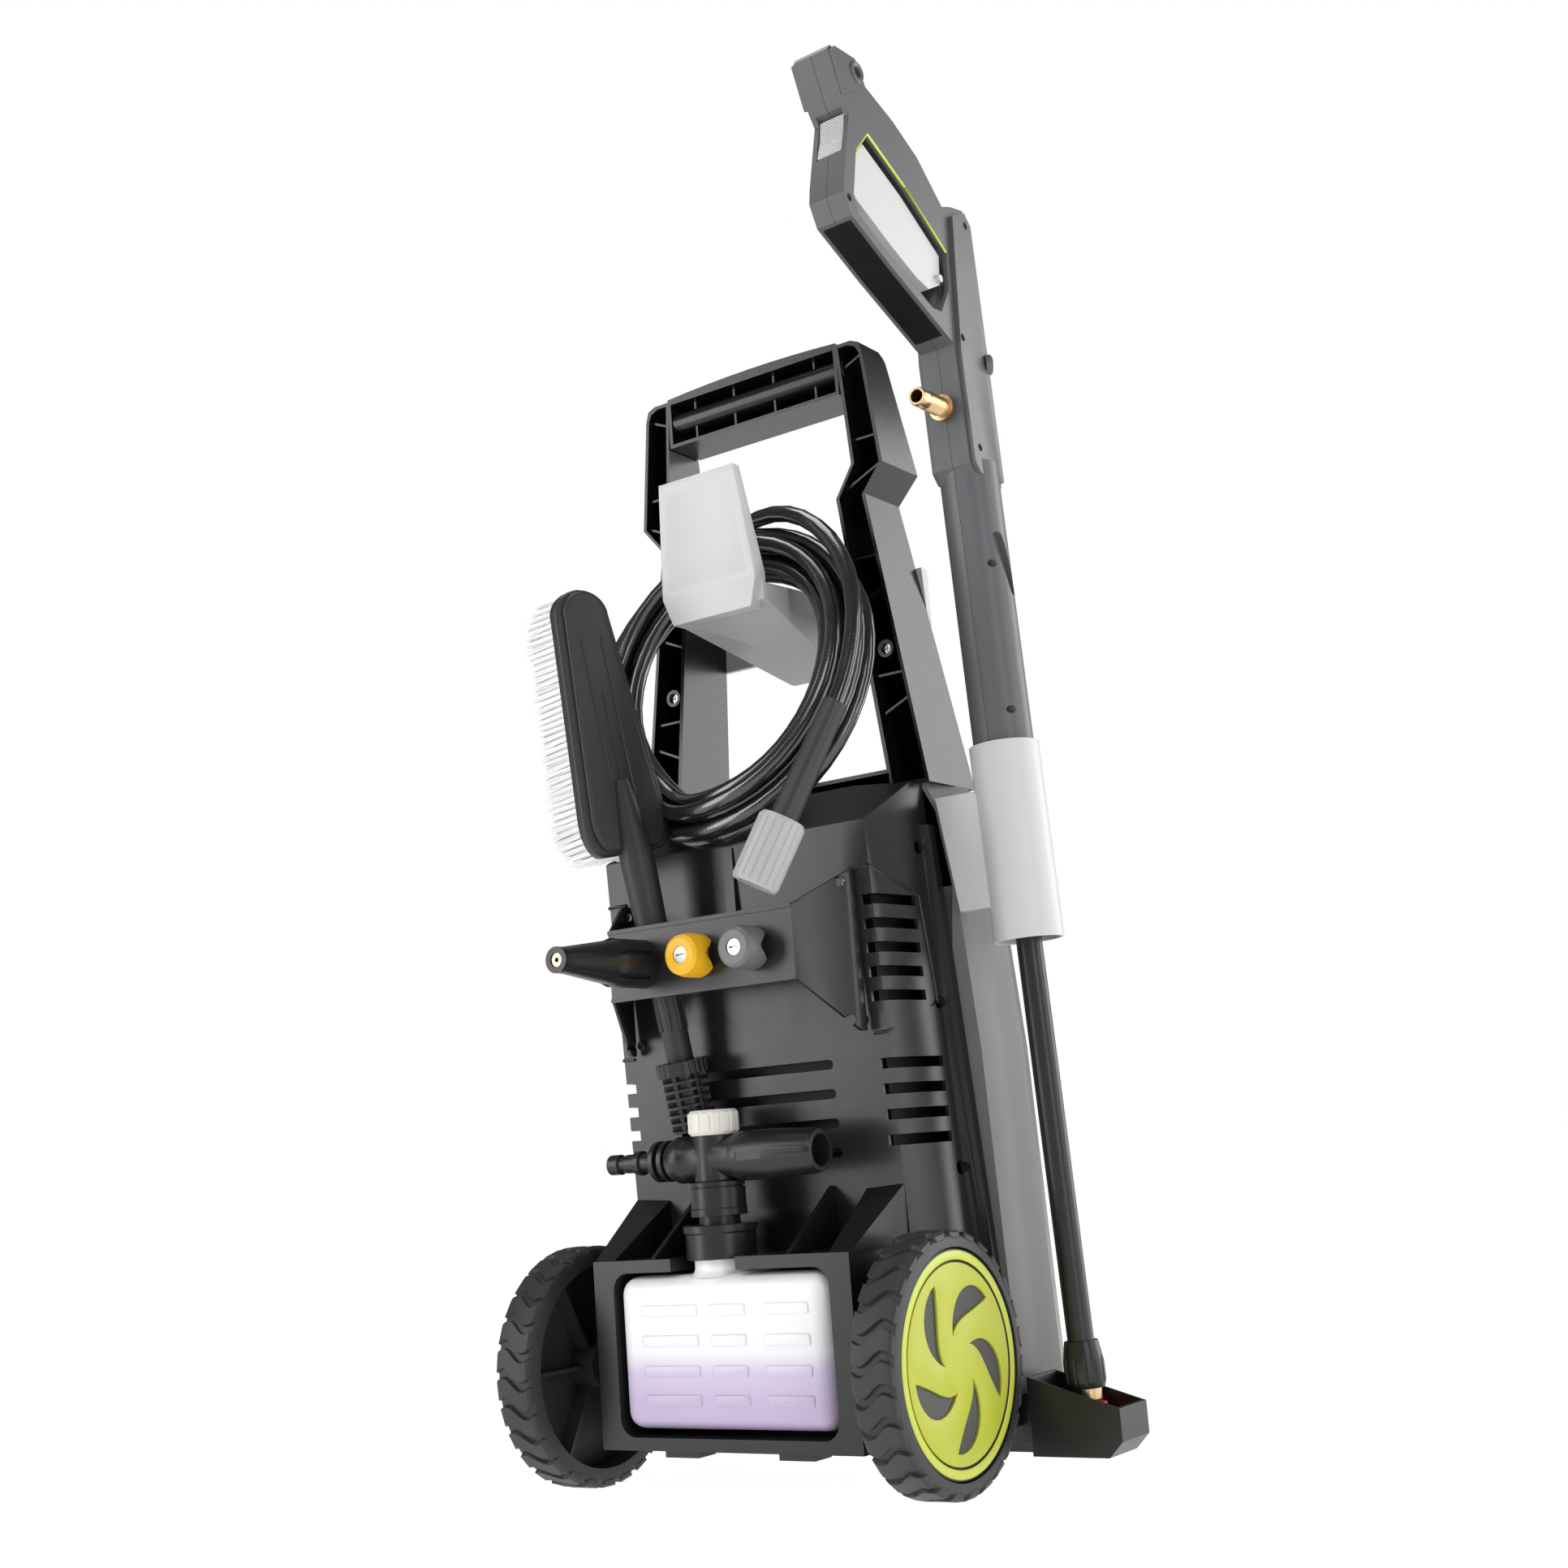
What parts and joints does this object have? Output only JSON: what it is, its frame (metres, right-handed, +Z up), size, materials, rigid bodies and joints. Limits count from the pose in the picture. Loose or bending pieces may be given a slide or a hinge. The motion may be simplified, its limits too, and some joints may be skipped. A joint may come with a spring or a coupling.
{
  "type": "pressure washer",
  "caption": "Upright electric pressure washer on two wheels with a gun in its holster, a foam cannon, a wash brush, spare nozzles and a coiled hose.",
  "frame": {"origin": "centre of the box round the machine, on the ground it stands on", "axes": "+Z up; +Y towards the back of the machine, where the accessories hang; +X to its left seen from the back"},
  "size_m": [0.4116, 0.3912, 1.0172],
  "materials": {
    "casing_black": "black moulded ABS, satin with fine spark texture",
    "frame_black": "black moulded polypropylene",
    "shell_grey": "warm mid grey moulded ABS",
    "light_grey": "light grey moulded plastic, smooth satin",
    "gun_grey": "mid grey moulded plastic with fine texture",
    "tyre": "black moulded tread",
    "lime": "lime green moulded plastic",
    "steel": "zinc plated",
    "brass": "turned brass",
    "hose_black": "black smooth hose",
    "sleeve_grey": "dark grey bend sleeve",
    "yellow": "yellow nozzle plastic",
    "nozzle_grey": "grey nozzle plastic",
    "red": "orange red nozzle plastic",
    "bottle": "translucent polyethylene with lilac detergent",
    "cream": "cream plastic",
    "bristle": "white nylon bristles",
    "alloy": "cast aluminium",
    "copper": "laminated core and copper windings"
  },
  "bodies": {
    "machine": {"base_frame": "frame_black", "rear_shell": "casing_black", "front_shell": "shell_grey", "body_screws": "steel", "front_foot": "frame_black", "axle": "steel", "axle_clips": "steel", "accessory_panel": "casing_black", "panel_screws": "steel", "handle_frame": "frame_black", "handle_grip": "frame_black", "hose_hook": "light_grey", "hose_coil": "hose_black", "hose_tail": "hose_black", "hose_sleeve": "sleeve_grey", "gun_holster": "light_grey", "lance_cup": "frame_black", "motor_can": "alloy", "motor_bearings": "steel", "pump_body": "alloy", "pump_pistons": "steel", "pump_head": "alloy", "inlet_fitting": "brass", "outlet_fitting": "brass", "stop_switch": "frame_black", "capacitor": "alloy", "cord_gland": "frame_black"},
    "left_wheel_body": {"left_wheel": "tyre", "left_hub_cover": "lime"},
    "right_wheel_body": {"right_wheel": "tyre", "right_hub_cover": "lime"},
    "turbo_body": {"turbo_nozzle": "frame_black", "turbo_orifice": "brass"},
    "yellow_body": {"yellow_nozzle": "yellow", "yellow_core": "steel"},
    "grey_body": {"grey_nozzle": "nozzle_grey", "grey_core": "steel"},
    "gun_body": {"gun_left_half": "gun_grey", "gun_right_half": "gun_grey", "gun_screws": "steel", "gun_inlet": "brass", "lance_tube": "frame_black", "lance_coupler": "brass"},
    "trigger_body": {"gun_trigger": "light_grey"},
    "lock_body": {"gun_lock": "light_grey"},
    "collar_body": {"lance_collar": "frame_black"},
    "tip_body": {"spray_tip": "red"},
    "cannon_group": {"bottle": "bottle", "cannon_collar": "frame_black", "cannon_body": "frame_black"},
    "knob_body": {"cannon_knob": "cream"},
    "fan_nozzle_body": {"cannon_nozzle": "frame_black"},
    "brush_body": {"brush_back": "frame_black", "brush_bristles": "bristle", "brush_coupling": "frame_black"},
    "rotor_body": {"motor_rotor": "copper", "motor_fan": "frame_black", "wobble_plate": "steel"},
    "switch_body": {"power_knob": "lime"},
    "nut_body": {"hose_nut": "light_grey"}
  },
  "joints": [
    {"name": "left_wheel_spin", "type": "hinge", "parent": "machine", "child": "left_wheel_body", "pos_m": [0.18425, 0.06635, 0.088], "axis": [1, 0, 0], "continuous": true},
    {"name": "right_wheel_spin", "type": "hinge", "parent": "machine", "child": "right_wheel_body", "pos_m": [-0.11575, 0.06635, 0.088], "axis": [1, 0, 0], "continuous": true},
    {"name": "gun_lift", "type": "slide", "parent": "machine", "child": "gun_body", "axis": [0.03, 0.0134, 0.9995], "range_m": [0, 0.45]},
    {"name": "trigger_squeeze", "type": "hinge", "parent": "gun_body", "child": "trigger_body", "pos_m": [-0.14641, -0.00312, 0.87713], "axis": [0.9995, 0, -0.03], "range_deg": [0, 8], "stiffness_Nm_per_rad": 1.2, "springref_deg": -5.73},
    {"name": "lock_rock", "type": "hinge", "parent": "gun_body", "child": "lock_body", "pos_m": [-0.14414, 0.1084, 0.95261], "axis": [0.9995, 0, -0.03], "range_deg": [-5, 5]},
    {"name": "collar_pull", "type": "slide", "parent": "gun_body", "child": "collar_body", "axis": [0.03, 0.0134, 0.9995], "range_m": [0, 0.006], "stiffness_N_per_m": 400, "springref_m": -0.002},
    {"name": "tip_pull", "type": "slide", "parent": "gun_body", "child": "tip_body", "axis": [-0.03, -0.0134, -0.9995], "range_m": [0, 0.008]},
    {"name": "turbo_pull", "type": "slide", "parent": "machine", "child": "turbo_body", "axis": [0, 1, 0], "range_m": [0, 0.06]},
    {"name": "yellow_pull", "type": "slide", "parent": "machine", "child": "yellow_body", "axis": [0, 1, 0], "range_m": [0, 0.04]},
    {"name": "grey_pull", "type": "slide", "parent": "machine", "child": "grey_body", "axis": [0, 1, 0], "range_m": [0, 0.04]},
    {"name": "brush_lift", "type": "slide", "parent": "machine", "child": "brush_body", "axis": [0.0607, 0.1632, 0.9847], "range_m": [0, 0.04]},
    {"name": "cannon_pull", "type": "slide", "parent": "machine", "child": "cannon_group", "axis": [0, 1, 0], "range_m": [0, 0.1]},
    {"name": "foam_knob_turn", "type": "hinge", "parent": "cannon_group", "child": "knob_body", "pos_m": [0.04625, 0.08035, 0.258], "axis": [0, 0, 1], "range_deg": [-120, 120]},
    {"name": "fan_nozzle_twist", "type": "hinge", "parent": "cannon_group", "child": "fan_nozzle_body", "pos_m": [-0.00975, 0.08035, 0.235], "axis": [1, 0, 0], "range_deg": [-45, 45]},
    {"name": "motor_spin", "type": "hinge", "parent": "machine", "child": "rotor_body", "pos_m": [0.03425, -0.08365, 0.275], "axis": [0, 0, 1], "continuous": true},
    {"name": "switch_turn", "type": "hinge", "parent": "machine", "child": "switch_body", "pos_m": [0.03425, -0.17865, 0.33], "axis": [0, 1, 0], "range_deg": [0, 90]},
    {"name": "hose_nut_turn", "type": "hinge", "parent": "machine", "child": "nut_body", "pos_m": [-0.04576, 0.11409, 0.44659], "axis": [0.3999, 0.2499, -0.8818], "continuous": true}
  ]
}
